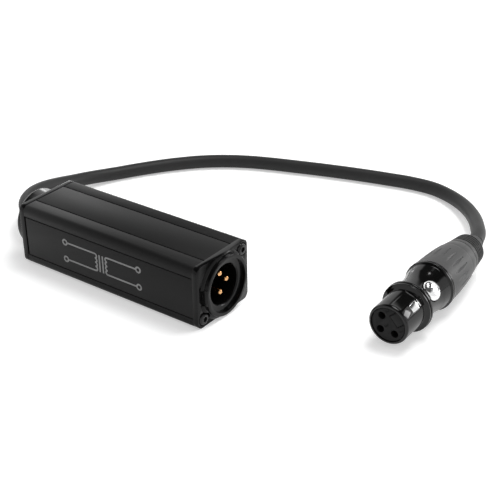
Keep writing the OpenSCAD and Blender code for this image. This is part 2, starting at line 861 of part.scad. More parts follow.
// The cord's end in the plug: its jacket in the clamp, and three leads to the contacts
module plug_leads() {
    color([0.13, 0.13, 0.135])
        place_plug()
            union() {
                bar_x(jacket_s, sleeve_tip_s, cord_r);
                for (i = [0:2])
                    at_plug_contact(i) {
                        bar_x(contact_tail - lead_in, contact_tail + bead_l, lead_r);
                        bar_x(contact_tail, contact_tail + bead_l, bead_r);
                        lead([contact_tail + bead_l / 2, 0, 0],
                            [jacket_s + 1, 0, 0] - 0.6 * contact_place(i));
                    }
            }
}

// Latch lever: tongue with its tooth in the nose's slot, and a flat arm under the button
module latch_lever() {
    tooth_rear = tongue_front + tooth_l;
    tooth_top = tongue_top + tooth_h;
    notch_rear = tooth_rear + notch_l;
    color([0.8, 0.8, 0.82])
        place_plug()
            union() {
                translate([0, 0, -tongue_hw])
                    linear_extrude(2 * tongue_hw)
                        polygon([[tongue_front, lever_bottom], [tongue_front, tongue_top],
                            [tooth_rear - 0.4, tooth_top], [tooth_rear, tooth_top],
                            [tooth_rear, tongue_top - notch_d], [notch_rear, tongue_top - notch_d],
                            [notch_rear, tongue_top], [tongue_rear, tongue_top],
                            [tongue_rear, lever_bottom]]);
                span([tongue_front, lever_bottom, -arm_hw],
                    [lever_rear, lever_bottom + lever_t, arm_hw]);
            }
}

// Domed push button on the lever's arm
module latch_button() {
    dome = 0.9;
    foot = lever_bottom + lever_t;
    color([0.82, 0.82, 0.84])
        place_plug()
            translate([button_s, 0, 0])
                rotate([-90, 0, 0])
                    rotate_extrude()
                        polygon(concat([[0, foot], [button_r, foot]],
                            arc(button_r - dome, button_top - dome, dome, 0, 65, 5),
                            [[button_r * 0.55, button_top - 0.12], [0, button_top]]));
}

// Split clamp that grips the cord inside the plug
module cord_chuck() {
    color([0.85, 0.85, 0.83])
        place_plug()
            difference() {
                turn_x()
                    polygon([[chuck_s, cord_r + fit], [chuck_s, chuck_r], [chuck_cone_s, chuck_r],
                        [chuck_end, chuck_end_r], [chuck_end, cord_r + fit]]);
                for (a = [0, 90])
                    rotate([a, 0, 0])
                        span([chuck_s + 4, -0.5, -chuck_r - over],
                            [chuck_end + over, 0.5, chuck_r + over]);
            }
}

// A wheel with a sharp rim, whose cut leaves a lens-shaped mark
module mark_wheel(r, spread) {
    deep = 3;
    rotate_extrude()
        polygon([[r - deep, -spread * deep], [r, 0], [r - deep, spread * deep]]);
}

// Matte grip sleeve with finger marks, screwed into the shell
module plug_grip() {
    mid_s = grip_s + grip_l * 0.45;
    slope = atan2(grip_front_r - grip_end_r, grip_l);
    thread_r = counter_r - fit;
    color([0.17, 0.17, 0.175])
        place_plug()
            difference() {
                turn_x()
                    polygon(concat(
                        [[counter_s + 0.6, chuck_r + fit], [counter_s + 0.6, thread_r],
                            [grip_s, thread_r], [grip_s, grip_front_r - 0.2],
                            [grip_s + 0.2, grip_front_r]],
                        [for (i = [1:9]) let (u = i / 10) [grip_s + grip_l * u,
                            grip_front_r + (grip_end_r - grip_front_r) * u * u]],
                        [[grip_rear, grip_end_r], [grip_rear, boot_bore_r + fit],
                            [chuck_end + 1, boot_bore_r + fit], [chuck_end, chuck_end_r + fit],
                            [chuck_cone_s, chuck_r + fit]]));
                for (i = [0:grip_marks - 1])
                    rotate([360 * (i + 0.5) / grip_marks, 0, 0])
                        translate([mid_s, 0, 0])
                            rotate([0, 0, -slope])
                                translate([0, grip_front_r - 0.25 - mark_depth + mark_wheel_r, 0])
                                    mark_wheel(mark_wheel_r, mark_spread);
            }
}

// Boot with grooves around its end
module plug_boot() {
    first = boot_rear - (boot_grooves - 1) * groove_pitch - groove_w - 0.5;
    color([0.15, 0.15, 0.155])
        place_plug()
            difference() {
                turn_x()
                    polygon([[boot_s, boot_bore_r], [boot_s, boot_front_r - 0.15],
                        [boot_s + 0.15, boot_front_r], [boot_s + boot_l * 0.5, boot_front_r - 1.2],
                        [boot_rear - 0.4, boot_end_r], [boot_rear, boot_end_r - 0.4],
                        [boot_rear, boot_bore_r]]);
                for (i = [0:boot_grooves - 1]) {
                    s = first + i * groove_pitch;
                    u = (s - boot_s - boot_l * 0.5) / (boot_l * 0.5);
                    r = boot_front_r - 1.2 + (boot_end_r - boot_front_r + 1.2) * u;
                    turn_x()
                        polygon([[s, r - groove_d], [s + groove_w, r - groove_d],
                            [s + groove_w, r + over], [s, r + over]]);
                }
            }
}

// Soft sleeve around the cord where it leaves the boot
module plug_sleeve() {
    bore = cord_r + fit;
    color([0.3, 0.3, 0.31])
        place_plug()
            turn_x()
                polygon([[chuck_end + 1, bore], [chuck_end + 1, sleeve_root_r - 0.2],
                    [grip_rear - 1, sleeve_root_r], [boot_rear + 0.5, sleeve_root_r],
                    [sleeve_tip_s - 0.3, sleeve_tip_r], [sleeve_tip_s, bore + 0.1],
                    [sleeve_tip_s, bore]]);
}

case_tube();
front_socket();
socket_insulator();
pin(0);  // pin_1
pin(1);  // pin_2
pin(2);  // pin_3
front_screws();
rear_plate();
rear_screws();
cord_grommet();
circuit_board();
transformer_core();
transformer_bobbin();
primary_winding();
secondary_winding();
screening_can();
front_leads();
rear_leads();
cord();
plug_shell();
plug_insulator();
plug_contact(0);  // plug_contact_1
plug_contact(1);  // plug_contact_2
plug_contact(2);  // plug_contact_3
plug_leads();
latch_lever();
latch_button();
cord_chuck();
plug_grip();
plug_boot();
plug_sleeve();
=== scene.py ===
"""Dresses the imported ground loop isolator: its camera, cord, finishes, fine parts and studio."""
import math

import bpy
from mathutils import Euler, Matrix, Vector


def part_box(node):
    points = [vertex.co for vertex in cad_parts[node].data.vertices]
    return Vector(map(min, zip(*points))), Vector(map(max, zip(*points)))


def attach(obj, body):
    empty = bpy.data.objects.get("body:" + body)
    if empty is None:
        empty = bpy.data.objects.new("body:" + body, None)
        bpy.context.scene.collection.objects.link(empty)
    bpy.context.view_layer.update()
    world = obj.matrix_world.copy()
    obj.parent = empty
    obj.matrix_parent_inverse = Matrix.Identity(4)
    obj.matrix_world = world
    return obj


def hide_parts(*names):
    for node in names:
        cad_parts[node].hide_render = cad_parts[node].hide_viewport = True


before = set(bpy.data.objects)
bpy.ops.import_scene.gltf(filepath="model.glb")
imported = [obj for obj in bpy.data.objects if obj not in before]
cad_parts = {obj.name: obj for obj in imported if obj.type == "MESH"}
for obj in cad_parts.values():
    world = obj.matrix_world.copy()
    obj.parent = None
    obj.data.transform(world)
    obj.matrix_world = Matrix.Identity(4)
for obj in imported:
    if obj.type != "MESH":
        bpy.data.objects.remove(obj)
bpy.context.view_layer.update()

MM = 0.001

# Camera, solved from the case's corners in the photograph: place in millimetres, angles in degrees
VIEW_PLACE = (275.93, -290.11, 230.34)
VIEW_AZIMUTH = 36.793
VIEW_ELEVATION = 28.739
VIEW_ROLL = -0.771
VIEW_LENS = 81.81

# The plug's place: its face, then its own frame runs along X from there, with the latch towards Y
PLUG_FACE = (109.2, 14.7, 10.25)
PLUG_YAW = 92
PLUG_ROLL = 138

# Plug shell: distances from the plug's face and radii about its axis, in millimetres. A groove
# runs about the collar and another about the rear ring.
NOSE_R = 8.0
NOSE_L = 13.6
BORE_R = 6.65
RIM_ROUND = 0.9
COLLAR_R = 10.0
COLLAR_FRONT_R = COLLAR_R - 0.1
COLLAR_SHOULDER_R = NOSE_R + 1.1
COLLAR_GROOVE_R = COLLAR_R - 0.6
COLLAR_GROOVE_START = NOSE_L + 1.1
COLLAR_GROOVE_END = NOSE_L + 1.5
COLLAR_SLOPE = 0.1
COLLAR_END = NOSE_L + 3.0
WAIST_R = 8.3
FLARE_S = COLLAR_END + 5.2
WAIST_FILLET = 1.5
WAIST_SWEEP = 30
SHELL_L = 34.4
FLARE_R = 10.2
FLARE_FILLET = 2.1
RING_W = 1.5
RING_GROOVE_START = SHELL_L - RING_W + 0.4
RING_GROOVE_END = RING_GROOVE_START + 0.2
RING_GROOVE_R = FLARE_R - 0.25
COUNTER_R = 8.0
COUNTER_S = SHELL_L - 4.8

# Latch: its slot in the nose, the flat beside it and the push button with a ring in its top
SLOT_FRONT = 6.1
SLOT_REAR = 13.4
SLOT_HALF = 1.75
NOSE_FLAT_ANGLE = -36
NOSE_FLAT_HEIGHT = 7.58
NOSE_FLAT_SIDE = -1.53
CUTTER_TOP = 12
BUTTON_S = 22.0
BUTTON_R = 3.9
BUTTON_FOOT = 6.2
BUTTON_TOP = 10.0
BUTTON_GAP = 0.3
BUTTON_RING_OUT = 1.9
BUTTON_RING_IN = 1.6
BUTTON_RING_D = 0.35

# Key on the plug's face, and the numerals beside its three holes as (text, Y, Z)
KEY_FLOOR = 2.95
KEY_HALF = 2.4
KEY_DEPTH = 1.4
FACE_RECESS = 0.3
FACE_GROOVE_W = 0.28
FACE_GROOVE_D = 1.3
NUMERALS = (("2", 3.1, -4.5), ("3", -1.0, 0.0), ("1", 3.2, 4.4))
NUMERAL_SIZE = 2.5
NUMERAL_BOLD = 0.06

# Boot: its round outside, the grooves about its end and the joint line in front of them
BOOT_FRONT = 53.22
BOOT_REAR = 67.75
BOOT_FRONT_R = 8.65
BOOT_MID_R = 7.45
BOOT_END_R = 6.6
BOOT_BORE_R = 4.9
GROOVES = 5
GROOVE_PITCH = 1.36
GROOVE_W = 0.85
GROOVE_D = 1.2
JOINT_S = 58.4
JOINT_W = 0.25
JOINT_D = 0.35

# The cord: its points are the source's own
CORD_D = 6.2
CORD_STEPS = 6
CORD_POINTS = [
    (-51.55, 0, 13), (-55.6, 0.1, 13), (-60.2, 1.3, 12.9), (-65, 4.5, 12.6), (-69.2, 9.4, 12.2),
    (-72.4, 15.4, 11.6), (-74.5, 22, 10.6), (-75.6, 29, 9.2), (-76, 36, 7.6),
    (-75.7, 43, 6.1), (-74.6, 50.5, 4.9), (-72.2, 58.5, 3.9), (-68.5, 66.6, 3.3),
    (-63.3, 75.6, 3.2), (-57.3, 84.5, 3.2), (-50.6, 93, 3.2), (-43.2, 100.7, 3.2),
    (-34.6, 107.3, 3.2), (-25, 112.8, 3.2), (-14.6, 117.2, 3.2), (-4, 121, 3.2), (7, 124.8, 3.2),
    (18, 128.3, 3.2), (29, 131.5, 3.2), (40, 134.3, 3.2), (50.5, 136.6, 3.2),
    (61, 137.3, 3.2), (70, 135.1, 3.3), (78.7, 130.4, 3.8), (86.4, 123.8, 4.7),
    (93.2, 115.7, 6), (99, 106.5, 7.7), (103.6, 97.8, 9.3), (106.609, 88.905, 10.25),
]

# Printed diagram on the case's side: its middle along X, half length, line width and height
PRINT_MIDDLE_X = -2.0
PRINT_REACH = 20.4
PRINT_STROKE = 0.75
PRINT_LEAD_Z = 3.8
HUMP_R = 0.95
CORE_X = 0.85
COIL_X = 3.2
TERMINAL_R = 1.1

# Each CAD node's material slot in the record
NODE_SLOTS = {
    "case_tube": "case_black", "front_socket": "socket_black",
    "socket_insulator": "insulator_black", "pin_1": "gold", "pin_2": "gold", "pin_3": "gold",
    "front_screws": "screw_black", "rear_plate": "plate_black", "rear_screws": "screw_black",
    "cord_grommet": "rubber_grey", "circuit_board": "board_green",
    "transformer_core": "core_steel", "transformer_bobbin": "bobbin_cream",
    "primary_winding": "copper", "secondary_winding": "copper", "screening_can": "can_tin",
    "front_leads": "lead_red", "rear_leads": "lead_blue", "cord": "cord_rubber",
    "plug_shell": "black_chrome", "plug_insulator": "insulator_grey", "plug_contact_1": "gold",
    "plug_contact_2": "gold", "plug_contact_3": "gold", "plug_leads": "cord_rubber",
    "latch_lever": "bright_chrome", "latch_button": "bright_chrome",
    "cord_chuck": "chuck_white", "plug_grip": "grip_grey", "plug_boot": "grip_grey",
    "plug_sleeve": "sleeve_grey",
}

# Nodes that are dressed as copies with eased edges: width of the edge, and the body they ride on
EASED_NODES = {
    "case_tube": (0.12, "root"), "front_socket": (0.14, "root"), "rear_plate": (0.14, "root"),
    "front_screws": (0.1, "root"), "rear_screws": (0.1, "root"), "cord_grommet": (0.15, "root"),
    "pin_1": (0.05, "root"), "pin_2": (0.05, "root"), "pin_3": (0.05, "root"),
    "plug_insulator": (0.06, "root"), "latch_lever": (0.08, "latch"), "plug_grip": (0.1, "root"),
    "plug_sleeve": (0.15, "root"),
}

# Soft lights: azimuth from X, elevation, distance, width and height, and brightness against white.
# The white backdrop ends, and the dim ceiling starts, at a height on a sphere of radius 1.
SOFTBOXES = {
    "overhead_softbox": (60, 72, 800, 420, 320, 10),
    "back_left_softbox": (141, 5, 900, 110, 160, 3),
    "back_right_softbox": (53, 15, 900, 260, 320, 7),
}
LIT_POINT = (20, 40, 10)
WORLD_LIGHT = 0.5
CEILING_LEVEL = 0.06
BACKDROP_TOP = 0.52
CEILING_START = 0.6
FLOOR_LIFT = 0.42


def make_camera():
    """The photograph's camera, middle of the picture on its axis."""
    data = bpy.data.cameras.new("view_camera")
    data.lens = VIEW_LENS
    data.sensor_width = 36
    data.clip_start = 0.01
    camera = bpy.data.objects.new("view_camera", data)
    bpy.context.scene.collection.objects.link(camera)
    turn = Euler((math.radians(90 - VIEW_ELEVATION), 0, math.radians(VIEW_AZIMUTH))).to_matrix()
    roll = Matrix.Rotation(math.radians(VIEW_ROLL), 3, "Z")
    camera.matrix_world = Matrix.Translation(Vector(VIEW_PLACE) * MM) @ (turn @ roll).to_4x4()
    bpy.context.scene.camera = camera


# Selection and placing, shared by all pieces

def select_only(piece):
    bpy.ops.object.select_all(action="DESELECT")
    piece.select_set(True)
    bpy.context.view_layer.objects.active = piece


def put(piece, matrix):
    """Moves a piece that sits at the origin, and leaves its new place in its mesh."""
    select_only(piece)
    piece.matrix_world = matrix
    bpy.ops.object.transform_apply(location=True, rotation=True, scale=True)


def shifted(x=0, y=0, z=0):
    return Matrix.Translation(Vector((x, y, z)) * MM)


def turned_by(angle, axis):
    return Matrix.Rotation(math.radians(angle), 4, axis)


PLUG_MATRIX = shifted(*PLUG_FACE) @ turned_by(PLUG_YAW, "Z") @ turned_by(PLUG_ROLL, "X")


# The cord

def curve_point(i, u):
    """Point of a smooth curve between cord point i and the next, as the source works it out."""
    points = [Vector(point) for point in CORD_POINTS]
    before = points[i - 1] if i > 0 else 2 * points[0] - points[1]
    after = points[i + 2] if i + 2 < len(points) else 2 * points[-1] - points[-2]
    here, there = points[i], points[i + 1]
    return 0.5 * (2 * here + (there - before) * u
                  + (2 * before - 5 * here + 4 * there - after) * u ** 2
                  + (3 * here - before - 3 * there + after) * u ** 3)


def cord_line():
    """The cord's middle line in metres, close enough together to look smooth."""
    line = [curve_point(i, k / CORD_STEPS) * MM
            for i in range(len(CORD_POINTS) - 1) for k in range(CORD_STEPS)]
    return line + [Vector(CORD_POINTS[-1]) * MM]


def make_cord():
    """The captive cord, one round rubber tube from the grommet to the plug's sleeve."""
    line = cord_line()
    data = bpy.data.curves.new("cord_jacket", "CURVE")
    data.dimensions = "3D"
    data.bevel_depth = CORD_D / 2 * MM
    data.bevel_resolution = 8
    data.use_fill_caps = True
    spline = data.splines.new("POLY")
    spline.points.add(len(line) - 1)
    for point, place in zip(spline.points, line):
        point.co = (*place, 1)
    spline.use_smooth = True
    curve = bpy.data.objects.new("cord_jacket", data)
    bpy.context.scene.collection.objects.link(curve)
    select_only(curve)
    bpy.ops.object.convert(target="MESH")
    cord = bpy.context.object
    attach(cord, "root")
    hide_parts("cord")
    return cord


# Finishes

class Signal:
    """A shader socket; Python's operators on it add Math nodes."""

    def __init__(self, finish, socket):
        self.finish = finish
        self.socket = socket

    def math(self, operation, *values):
        return self.finish.node("ShaderNodeMath", {"operation": operation},
                                dict(enumerate(values)))

    def __add__(self, other):
        return self.math("ADD", self, other)

    def __radd__(self, other):
        return self.math("ADD", other, self)

    def __sub__(self, other):
        return self.math("SUBTRACT", self, other)

    def __rsub__(self, other):
        return self.math("SUBTRACT", other, self)

    def __mul__(self, other):
        return self.math("MULTIPLY", self, other)

    def __rmul__(self, other):
        return self.math("MULTIPLY", other, self)



class Finish:
    """One material, whose patterns are laid out in millimetres."""

    def __init__(self, name):
        self.material = bpy.data.materials.new(name)
        self.material.use_nodes = True
        self.tree = self.material.node_tree
        self.shader = self.tree.nodes["Principled BSDF"]

    def node(self, kind, settings, inputs, output=0):
        """Adds a node, sets it up, feeds its sockets and returns one of its outputs."""
        made = self.tree.nodes.new(kind)
        for name, value in settings.items():
            setattr(made, name, value)
        for key, value in inputs.items():
            self.feed(made.inputs[key], value)
        return Signal(self, made.outputs[output])

    def feed(self, socket, value):
        if isinstance(value, Signal):
            self.tree.links.new(value.socket, socket)
        else:
            socket.default_value = value

    def place(self):
        """Place in the frame, in millimetres."""
        here = self.node("ShaderNodeTexCoord", {}, {}, "Object")
        return self.node("ShaderNodeVectorMath", {"operation": "SCALE"}, {0: here, "Scale": 1000})

    def plug_place(self):
        """Place in the plug: X from its face along its axis, Y towards its latch."""
        turn = (math.radians(PLUG_ROLL), 0, math.radians(PLUG_YAW))
        return self.node("ShaderNodeMapping", {"vector_type": "TEXTURE"},
                         {"Vector": self.place(), "Location": PLUG_FACE, "Rotation": turn})

    def stretched(self, vector, factors):
        return self.node("ShaderNodeVectorMath", {"operation": "MULTIPLY"},
                         {0: vector, 1: factors})

    def noise(self, vector, size, detail=2.0):
        """Smooth noise from 0 to 1, whose blotches are about size millimetres wide."""
        return self.node("ShaderNodeTexNoise", {},
                         {"Vector": vector, "Scale": 1 / size, "Detail": detail})

    def mixed(self, factor, first, second):
        """A colour between two others."""
        return self.node("ShaderNodeMix", {"data_type": "RGBA"},
                         {0: factor, 6: first, 7: second}, 2)

    def bumpy(self, height, depth):
        """A normal from a height of 0 to 1 that stands for depth millimetres."""
        return self.node("ShaderNodeBump", {}, {"Height": height, "Distance": depth * MM})

    def finished(self, **sockets):
        """Feeds the shader's sockets, named with underscores, and returns the material."""
        for name, value in sockets.items():
            self.feed(self.shader.inputs[name.replace("_", " ")], value)
        return self.material


def grey(value):
    """A linear grey."""
    return (value, value, value, 1)


def grained_finish(name, dark, light, rough, grain, depth, **more):
    """A surface with fine grain, soft blotches and uneven gloss."""
    f = Finish(name)
    place = f.place()
    fine = f.noise(place, grain, 3)
    broad = f.noise(place, grain * 40)
    colour = f.mixed(0.6 * fine + 0.4 * broad, grey(dark), grey(light))
    gloss = rough + 0.08 * (fine - 0.5) + 0.06 * (broad - 0.5)
    return f.finished(Base_Color=colour, Roughness=gloss, Normal=f.bumpy(fine, depth), **more)


def anodised_black():
    """Satin black anodising on an extrusion, with faint lengthwise drawing marks."""
    f = Finish("anodised_black")
    place = f.place()
    fine = f.noise(place, 0.22, 3)
    drawn = f.noise(f.stretched(place, (0.01, 1, 1)), 0.5, 2)
    colour = f.mixed(0.5 * fine + 0.5 * drawn, grey(0.006), grey(0.012))
    gloss = 0.4 + 0.1 * fine + 0.05 * drawn
    return f.finished(Base_Color=colour, Roughness=gloss, Specular_IOR_Level=0.15,
                      Normal=f.bumpy(0.6 * fine + 0.4 * drawn, 0.01))


def glossy_black(name, value, rough, level):
    """Smooth black plating or enamel with a faint haze of handling."""
    f = Finish(name)
    haze = f.noise(f.place(), 4, 3)
    colour = f.mixed(haze, grey(value), grey(value * 1.6))
    return f.finished(Base_Color=colour, Roughness=rough + 0.05 * haze, Specular_IOR_Level=level)


def bright_chrome():
    """Polished chrome with faint polishing haze."""
    f = Finish("bright_chrome")
    haze = f.noise(f.plug_place(), 2, 3)
    colour = f.mixed(haze, grey(0.78), grey(0.88))
    return f.finished(Base_Color=colour, Roughness=0.15 + 0.05 * haze, Metallic=1.0)


def gold_plate():
    f = Finish("gold_plate")
    haze = f.noise(f.place(), 0.6, 3)
    colour = f.mixed(haze, (0.66, 0.34, 0.14, 1), (0.85, 0.5, 0.24, 1))
    return f.finished(Base_Color=colour, Roughness=0.14 + 0.1 * haze, Metallic=1.0)


def fibre_board():
    """Green solder mask over a faint weave."""
    f = Finish("board_green")
    fine = f.noise(f.place(), 0.4, 3)
    colour = f.mixed(fine, (0.01, 0.09, 0.035, 1), (0.02, 0.14, 0.06, 1))
    return f.finished(Base_Color=colour, Roughness=0.3 + 0.1 * fine)


def wound_copper():
    """Enamelled wire, wound in level turns, with painted shade darkening the grooves between turns.
    """
    f = Finish("wound_copper")
    turns_and_groove_shade = f.node("ShaderNodeTexWave", {"wave_profile": "SIN", "bands_direction": "Z"},
                   {"Vector": f.place(), "Scale": 0.8})
    # Painted shade: the colour goes dark copper in the bump's grooves between turns and light on
    # their crowns
    colour = f.mixed(turns_and_groove_shade, (0.3, 0.1, 0.04, 1), (0.75, 0.32, 0.14, 1))
    return f.finished(Base_Color=colour, Roughness=0.3 + 0.1 * turns_and_groove_shade, Metallic=1.0,
                      Normal=f.bumpy(turns_and_groove_shade, 0.1))


def tinted_lead(name, colour):
    """Coloured insulation of an inner lead, a little uneven."""
    f = Finish(name)
    fine = f.noise(f.place(), 0.4, 3)
    light = tuple(min(1, 1.5 * part) for part in colour[:3]) + (1,)
    return f.finished(Base_Color=f.mixed(fine, colour, light), Roughness=0.35 + 0.1 * fine)


def make_finishes():
    """Every finish by the record's slot, and the print on the case."""
    return {
        "case_black": anodised_black(),
        "socket_black": grained_finish("cast_black", 0.002, 0.004, 0.15, 0.3, 0.003,
                                       Specular_IOR_Level=0.15),
        "plate_black": grained_finish("rear_plate_black", 0.003, 0.006, 0.18, 0.3, 0.004,
                                      Specular_IOR_Level=0.2),
        "insulator_black": grained_finish("insulator_black", 0.002, 0.004, 0.5, 0.2, 0.01,
                                          Specular_IOR_Level=0.1),
        "insulator_grey": grained_finish("insulator_grey", 0.007, 0.01, 0.5, 0.2, 0.006,
                                         Specular_IOR_Level=0.15),
        "gold": gold_plate(),
        "screw_black": glossy_black("screw_black", 0.005, 0.16, 0.3),
        "rubber_grey": grained_finish("rubber_grey", 0.012, 0.02, 0.55, 0.25, 0.02,
                                      Specular_IOR_Level=0.2),
        "cord_rubber": grained_finish("cord_rubber", 0.016, 0.026, 0.5, 0.25, 0.02,
                                      Specular_IOR_Level=0.25),
        "sleeve_grey": grained_finish("sleeve_grey", 0.05, 0.07, 0.6, 0.2, 0.02,
                                      Specular_IOR_Level=0.2),
        "grip_grey": grained_finish("grip_grey", 0.06, 0.085, 0.46, 0.18, 0.012,
                                    Specular_IOR_Level=0.25),
        "black_chrome": glossy_black("black_chrome", 0.002, 0.07, 0.35),
        "bright_chrome": bright_chrome(),
        "board_green": fibre_board(),
        "core_steel": grained_finish("core_steel", 0.2, 0.3, 0.35, 0.3, 0.02, Metallic=1.0),
        "bobbin_cream": grained_finish("bobbin_cream", 0.5, 0.6, 0.5, 0.3, 0.01),
        "copper": wound_copper(),
        "can_tin": grained_finish("can_tin", 0.45, 0.6, 0.3, 0.5, 0.02, Metallic=1.0),
        "lead_red": tinted_lead("lead_red", (0.3, 0.02, 0.015, 1)),
        "lead_blue": tinted_lead("lead_blue", (0.015, 0.04, 0.25, 1)),
        "chuck_white": grained_finish("chuck_white", 0.5, 0.6, 0.45, 0.3, 0.01),
        "print_grey": grained_finish("print_grey", 0.24, 0.29, 0.6, 0.2, 0.006),
        "numeral_black": grained_finish("numeral_black", 0.002, 0.004, 0.5, 0.2, 0.006,
                                        Specular_IOR_Level=0.1),
    }


def dress(piece, slot, finishes):
    """Gives a piece one finish."""
    piece.data.materials.clear()
    piece.data.materials.append(finishes[slot])


def settle(piece, body, slot, finishes, nodes=()):
    """A finished new piece rides on its body, stands for its CAD nodes and gets its finish."""
    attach(piece, body)
    if nodes:
        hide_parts(*nodes)
    dress(piece, slot, finishes)
    return piece


# Modelling: primitives, edit-mode operators and applied modifiers

def arc_points(x, y, r, start, end, steps):
    """Points of an arc about a centre, from one angle to another in degrees."""
    angles = [math.radians(start + (end - start) * i / steps) for i in range(steps + 1)]
    return [(x + r * math.cos(a), y + r * math.sin(a)) for a in angles]


def eased(outline, ease, closed):
    """The outline with each corner of more than 20 degrees rounded by three points."""
    points = [Vector(p) for p in outline]
    count = len(points)
    made = []
    for i, here in enumerate(points):
        back, ahead = points[i - 1] - here, points[(i + 1) % count] - here
        is_end = not closed and i in (0, count - 1)
        if is_end or math.degrees(back.angle(-ahead, 0)) < 20:
            made.append(here)
            continue
        reach = min(ease, 0.4 * back.length, 0.4 * ahead.length)
        first, last = here + back.normalized() * reach, here + ahead.normalized() * reach
        made += [first, 0.25 * first + 0.5 * here + 0.25 * last, last]
    return made


def turned(name, outline, ease=0.12, steps=96, closed=True):
    """A turned piece about X, from an outline of (place along X, radius) in millimetres."""
    points = eased(outline, ease, closed)
    if closed:
        points.append(points[0])
    points = [Vector((x, 0, r)) * MM for x, r in points]
    bpy.ops.object.select_all(action="DESELECT")
    bpy.ops.mesh.primitive_plane_add(size=MM, location=points[0])
    piece = bpy.context.object
    piece.name = name
    bpy.ops.object.transform_apply(location=True, rotation=True, scale=True)
    bpy.ops.object.mode_set(mode="EDIT")
    bpy.ops.mesh.select_all(action="SELECT")
    bpy.ops.mesh.merge(type="CENTER")
    for here, there in zip(points, points[1:]):
        bpy.ops.mesh.extrude_region_move(TRANSFORM_OT_translate={"value": there - here})
    bpy.ops.mesh.select_all(action="SELECT")
    bpy.ops.mesh.spin(steps=steps, angle=math.tau, center=(0, 0, 0), axis=(1, 0, 0))
    bpy.ops.mesh.select_all(action="SELECT")
    bpy.ops.mesh.remove_doubles(threshold=0.002 * MM)
    bpy.ops.mesh.normals_make_consistent(inside=False)
    bpy.ops.object.mode_set(mode="OBJECT")
    return piece


def block(name, low, high):
    """A plain block between two corners, from which other shapes are cut."""
    low, high = Vector(low), Vector(high)
    bpy.ops.object.select_all(action="DESELECT")
    bpy.ops.mesh.primitive_cube_add(size=1)
    piece = bpy.context.object
    piece.name = name
    middle = (low + high) / 2
    put(piece, shifted(*middle) @ Matrix.Diagonal((*((high - low) * MM), 1)))
    return piece


def apply_modifier(piece, kind, **settings):
    select_only(piece)
    modifier = piece.modifiers.new(kind.lower(), kind)
    for name, value in settings.items():
        setattr(modifier, name, value)
    bpy.ops.object.modifier_apply(modifier=modifier.name)


def combine(piece, tool, operation):
    """Cuts the tool's shape out of the piece, or keeps only what the two share."""
    apply_modifier(piece, "BOOLEAN", operation=operation, solver="EXACT", object=tool)
    bpy.data.objects.remove(tool, do_unlink=True)


def ease_edges(piece, width, angle=40):
    apply_modifier(piece, "BEVEL", width=width * MM, segments=2, limit_method="ANGLE",
                   angle_limit=math.radians(angle), use_clamp_overlap=True)


def smooth(piece, angle=35):
    select_only(piece)
    bpy.ops.object.shade_smooth_by_angle(angle=math.radians(angle))


def eased_copy(node, width):
    """A copy of a CAD node, merged, with its hard edges eased and its curves smooth."""
    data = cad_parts[node].data.copy()
    piece = bpy.data.objects.new(node + "_eased", data)
    bpy.context.scene.collection.objects.link(piece)
    select_only(piece)
    bpy.ops.object.mode_set(mode="EDIT")
    bpy.ops.mesh.select_all(action="SELECT")
    bpy.ops.mesh.remove_doubles(threshold=0.001 * MM)
    bpy.ops.mesh.dissolve_limited(angle_limit=math.radians(0.5))
    bpy.ops.object.mode_set(mode="OBJECT")
    ease_edges(piece, width)
    smooth(piece)
    return piece


# The plug

def shell_outline():
    """Outline of the metal shell: rim, nose, double collar, waist, flare and rear ring."""
    return [
        (FACE_GROOVE_D, BORE_R), (FACE_GROOVE_D, BORE_R + FACE_GROOVE_W),
        (0, BORE_R + FACE_GROOVE_W),
        *arc_points(RIM_ROUND, NOSE_R - RIM_ROUND, RIM_ROUND, 180, 90, 6),
        (NOSE_L - 0.6, NOSE_R), (NOSE_L, COLLAR_SHOULDER_R), (NOSE_L + 0.3, COLLAR_FRONT_R),
        (COLLAR_GROOVE_START - COLLAR_SLOPE, COLLAR_FRONT_R),
        (COLLAR_GROOVE_START, COLLAR_GROOVE_R), (COLLAR_GROOVE_END, COLLAR_GROOVE_R),
        (COLLAR_GROOVE_END + COLLAR_SLOPE, COLLAR_R), (COLLAR_END - 0.4, COLLAR_R),
        *arc_points(COLLAR_END + 1.1, WAIST_R + WAIST_FILLET, WAIST_FILLET, 180, 270, 8),
        *arc_points(FLARE_S, WAIST_R + WAIST_SWEEP, WAIST_SWEEP, 270, 283, 10),
        *arc_points(SHELL_L - RING_W - FLARE_FILLET, FLARE_R + 1.1, FLARE_FILLET, 300, 328, 6),
        (SHELL_L - RING_W, FLARE_R), (RING_GROOVE_START, FLARE_R),
        (RING_GROOVE_START, RING_GROOVE_R), (RING_GROOVE_END, RING_GROOVE_R),
        (RING_GROOVE_END, FLARE_R), (SHELL_L, FLARE_R), (SHELL_L, COUNTER_R),
        (COUNTER_S, COUNTER_R), (COUNTER_S, BORE_R),
    ]


def make_plug_shell(finishes):
    """The dark chrome shell, with the latch's slot, a flat along the nose and the button's hole."""
    shell = turned("plug_shell_chrome", shell_outline(), ease=0.14)
    slot = block("slot_cutter", (SLOT_FRONT, 0, -SLOT_HALF), (SLOT_REAR, CUTTER_TOP, SLOT_HALF))
    combine(shell, slot, "DIFFERENCE")
    flat = block("flat_cutter", (2, NOSE_FLAT_HEIGHT, NOSE_FLAT_SIDE),
                 (NOSE_L - 0.5, CUTTER_TOP, 3))
    put(flat, turned_by(NOSE_FLAT_ANGLE, "X"))
    combine(shell, flat, "DIFFERENCE")
    reach = BUTTON_R + BUTTON_GAP
    hole = turned("hole_cutter", [(3, 0), (3, reach), (14, reach), (14, 0)], 0, closed=False)
    put(hole, shifted(BUTTON_S) @ turned_by(90, "Z"))
    combine(shell, hole, "DIFFERENCE")
    ease_edges(shell, 0.1, 50)
    smooth(shell)
    put(shell, PLUG_MATRIX)
    settle(shell, "root", "black_chrome", finishes, ["plug_shell"])


